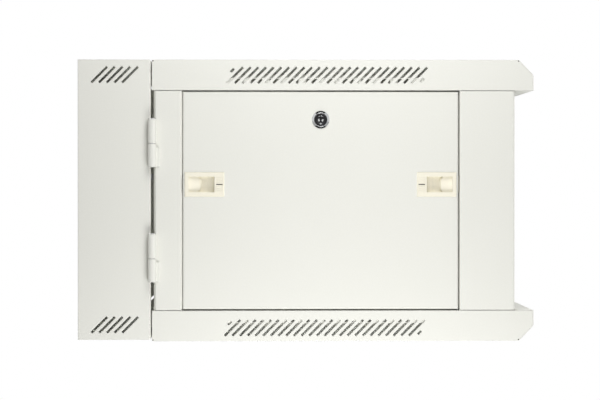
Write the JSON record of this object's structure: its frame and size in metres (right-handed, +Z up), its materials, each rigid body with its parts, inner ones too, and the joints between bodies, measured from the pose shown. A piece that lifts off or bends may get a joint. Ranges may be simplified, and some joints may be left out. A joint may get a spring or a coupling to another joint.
{
  "type": "wall mount network cabinet",
  "caption": "Wall mount network cabinet: a swinging body on a wall section, with vents, a glazed door, lift-off side panels, slide latches and key locks.",
  "frame": {"origin": "centre of the wall bolt pattern, on the wall plane", "axes": "+Z up, +Y into the wall, +X to the right of someone facing the door; the door looks along -Y"},
  "size_m": [0.6138, 0.5965, 0.368],
  "materials": {
    "powder_coat": "light warm grey powder coat, fine texture",
    "zinc_steel": "zinc-plated sheet and wire",
    "chrome": "chromed die casting",
    "dark_steel": "dark plated steel",
    "ivory_plastic": "ivory moulded plastic",
    "black_plastic": "black moulded plastic",
    "safety_glass": "tempered glass, lightly tinted",
    "seal_rubber": "flat black rubber strip"
  },
  "bodies": {
    "wall_section": {"wall_shell": "powder_coat", "wall_back_plate": "powder_coat", "wall_entry_covers": "powder_coat", "wall_earth_stud": "zinc_steel", "wall_hinge_knuckles": "powder_coat", "swing_hinge_pins": "zinc_steel", "swing_lock_keeper": "zinc_steel"},
    "main_body": {"top_cover": "powder_coat", "bottom_cover": "powder_coat", "cable_entry_covers": "powder_coat", "front_post_left": "powder_coat", "front_post_right": "powder_coat", "rear_post_left": "powder_coat", "rear_post_right": "powder_coat", "depth_rail_top_left": "powder_coat", "depth_rail_top_right": "powder_coat", "depth_rail_bottom_left": "powder_coat", "depth_rail_bottom_right": "powder_coat", "front_crossbar_top": "powder_coat", "front_crossbar_bottom": "powder_coat", "rear_crossbars": "powder_coat", "mounting_rail_front_left": "zinc_steel", "mounting_rail_front_right": "zinc_steel", "mounting_rail_rear_left": "zinc_steel", "mounting_rail_rear_right": "zinc_steel", "rail_bolts": "zinc_steel", "frame_nuts": "zinc_steel", "body_hinge_knuckles": "powder_coat", "swing_lock_housing": "chrome", "swing_lock_nut": "dark_steel", "door_hinge_bushes": "black_plastic"},
    "front_door": {"door_frame": "powder_coat", "door_glass": "safety_glass", "door_glass_seal": "seal_rubber", "door_glass_clips": "zinc_steel", "door_hinge_pins": "zinc_steel", "door_lock_housing": "chrome", "door_lock_nut": "dark_steel"},
    "door_lock": {"door_lock_plug": "dark_steel", "door_lock_cam": "zinc_steel"},
    "swing_lock": {"swing_lock_plug": "dark_steel", "swing_lock_cam": "zinc_steel"},
    "panel_left": {"side_panel_left": "powder_coat", "latch_housings_left": "ivory_plastic", "panel_lock_housing_left": "chrome", "panel_lock_nut_left": "dark_steel"},
    "panel_right": {"side_panel_right": "powder_coat", "latch_housings_right": "ivory_plastic", "panel_lock_housing_right": "chrome", "panel_lock_nut_right": "dark_steel"},
    "panel_lock_left": {"panel_lock_plug_left": "dark_steel", "panel_lock_cam_left": "zinc_steel"},
    "panel_lock_right": {"panel_lock_plug_right": "dark_steel", "panel_lock_cam_right": "zinc_steel"},
    "latch_front_left": {"latch_slider_front_left": "ivory_plastic"},
    "latch_rear_left": {"latch_slider_rear_left": "ivory_plastic"},
    "latch_front_right": {"latch_slider_front_right": "ivory_plastic"},
    "latch_rear_right": {"latch_slider_rear_right": "ivory_plastic"}
  },
  "joints": [
    {"name": "swing_body", "type": "hinge", "parent": "wall_section", "child": "main_body", "pos_m": [-0.3058, -0.097, 0], "axis": [0, 0, -1], "range_deg": [0, 100]},
    {"name": "swing_door", "type": "hinge", "parent": "main_body", "child": "front_door", "pos_m": [-0.26, -0.5635, 0], "axis": [0, 0, -1], "range_deg": [0, 105]},
    {"name": "turn_door_lock", "type": "hinge", "parent": "front_door", "child": "door_lock", "pos_m": [0.244, -0.5715, 0], "axis": [0, -1, 0], "range_deg": [0, 90]},
    {"name": "turn_swing_lock", "type": "hinge", "parent": "main_body", "child": "swing_lock", "pos_m": [0.3, -0.1175, 0], "axis": [1, 0, 0], "range_deg": [0, 90]},
    {"name": "lift_panel_left", "type": "slide", "parent": "main_body", "child": "panel_left", "axis": [-1, 0, 0], "range_m": [0, 0.04]},
    {"name": "lift_panel_right", "type": "slide", "parent": "main_body", "child": "panel_right", "axis": [1, 0, 0], "range_m": [0, 0.04]},
    {"name": "turn_panel_lock_left", "type": "hinge", "parent": "panel_left", "child": "panel_lock_left", "pos_m": [-0.3, -0.3171, 0.1056], "axis": [-1, 0, 0], "range_deg": [0, 90]},
    {"name": "turn_panel_lock_right", "type": "hinge", "parent": "panel_right", "child": "panel_lock_right", "pos_m": [0.3, -0.3171, 0.1056], "axis": [-1, 0, 0], "range_deg": [0, 90]},
    {"name": "slide_latch_front_left", "type": "slide", "parent": "panel_left", "child": "latch_front_left", "axis": [0, -1, 0], "range_m": [0, 0.006]},
    {"name": "slide_latch_rear_left", "type": "slide", "parent": "panel_left", "child": "latch_rear_left", "axis": [0, 1, 0], "range_m": [0, 0.006]},
    {"name": "slide_latch_front_right", "type": "slide", "parent": "panel_right", "child": "latch_front_right", "axis": [0, -1, 0], "range_m": [0, 0.006]},
    {"name": "slide_latch_rear_right", "type": "slide", "parent": "panel_right", "child": "latch_rear_right", "axis": [0, 1, 0], "range_m": [0, 0.006]}
  ]
}
